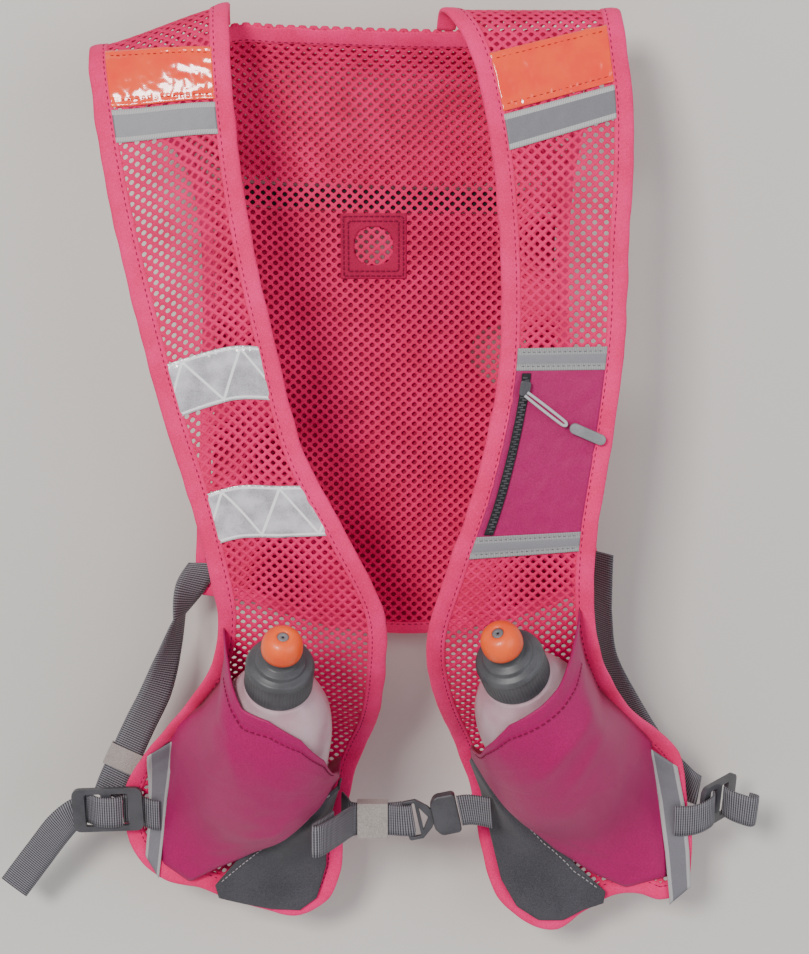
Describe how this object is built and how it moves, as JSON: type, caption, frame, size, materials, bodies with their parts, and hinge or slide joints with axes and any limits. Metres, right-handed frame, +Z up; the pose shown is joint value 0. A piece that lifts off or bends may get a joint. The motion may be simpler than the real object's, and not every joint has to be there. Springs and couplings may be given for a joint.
{
  "type": "running hydration vest",
  "caption": "Running hydration vest in open mesh cloth with bottle pockets on the chest, soft bindings, side straps, a buckled chest strap and capped drink bottles.",
  "frame": {"origin": "middle of the crease at the top of the shoulders, where the vest hangs", "axes": "+Z up the height of the vest, +Y from the chest to the back, +X to the right of a viewer who faces the chest"},
  "size_m": [0.4395, 0.1643, 0.5168],
  "materials": {
    "mesh": "open knitted mesh",
    "binding": "soft elastic binding",
    "vinyl_tape": "glossy",
    "reflective_tape": "reflective",
    "clear_tape": "glossy",
    "grey_tape": "matte",
    "pocket_cloth": "fine stretch mesh",
    "back_cloth": "matte",
    "dark_band": "matte",
    "grey_cloth": "fine stretch mesh",
    "zipper": "satin",
    "zip_slider": "satin",
    "pull_cord": "woven",
    "grip": "matte",
    "bottle": "frosted",
    "cap": "satin",
    "valve": "satin",
    "webbing": "woven",
    "keeper": "elastic",
    "buckle": "satin"
  },
  "bodies": {
    "vest": {"left_arm_binding": "binding", "left_neck_binding": "binding", "left_front_panel": "mesh", "right_arm_binding": "binding", "right_neck_binding": "binding", "right_front_panel": "mesh", "left_shoulder_tape": "vinyl_tape", "left_shoulder_reflector": "reflective_tape", "left_chest_tape_upper": "clear_tape", "left_chest_tape_lower": "clear_tape", "right_shoulder_tape": "vinyl_tape", "right_shoulder_reflector": "reflective_tape", "zip_pocket_top_tape": "grey_tape", "zip_pocket_bottom_tape": "grey_tape", "zipper": "zipper", "zip_pocket": "pocket_cloth", "back_panel": "mesh", "back_left_binding": "binding", "back_right_binding": "binding", "neck_back_binding": "binding", "hem_binding": "binding", "back_yoke": "mesh", "back_pocket_band": "dark_band", "back_pocket": "back_cloth", "left_bottle": "bottle", "right_bottle": "bottle", "left_bottle_pocket": "pocket_cloth", "left_pocket_panel": "grey_cloth", "left_pocket_reflector": "reflective_tape", "right_bottle_pocket": "pocket_cloth", "right_pocket_panel": "grey_cloth", "right_pocket_reflector": "reflective_tape", "left_side_strap": "webbing", "left_side_keeper": "keeper", "left_glide": "buckle", "left_side_tail": "webbing", "left_side_tab": "webbing", "right_side_strap": "webbing", "right_glide": "buckle", "right_side_tab": "webbing", "right_side_tail": "webbing", "chest_strap_left": "webbing", "chest_strap_tail": "webbing", "chest_keeper": "keeper", "chest_buckle_tongue": "buckle", "chest_buckle_socket": "buckle", "chest_strap_right": "webbing", "zip_slider": "zip_slider", "zip_cord": "pull_cord", "zip_grip": "grip"},
    "left_cap": {"left_cap": "cap"},
    "left_valve": {"left_valve": "valve"},
    "right_cap": {"right_cap": "cap"},
    "right_valve": {"right_valve": "valve"}
  },
  "joints": [
    {"name": "left_cap_lift", "type": "slide", "parent": "vest", "child": "left_cap", "axis": [0.11, -0.566, 0.817], "range_m": [0, 0.022]},
    {"name": "left_valve_pull", "type": "slide", "parent": "left_cap", "child": "left_valve", "axis": [0.11, -0.566, 0.817], "range_m": [0, 0.005]},
    {"name": "right_cap_lift", "type": "slide", "parent": "vest", "child": "right_cap", "axis": [-0.2802, -0.5855, 0.7607], "range_m": [0, 0.022]},
    {"name": "right_valve_pull", "type": "slide", "parent": "right_cap", "child": "right_valve", "axis": [-0.2802, -0.5855, 0.7607], "range_m": [0, 0.005]}
  ]
}
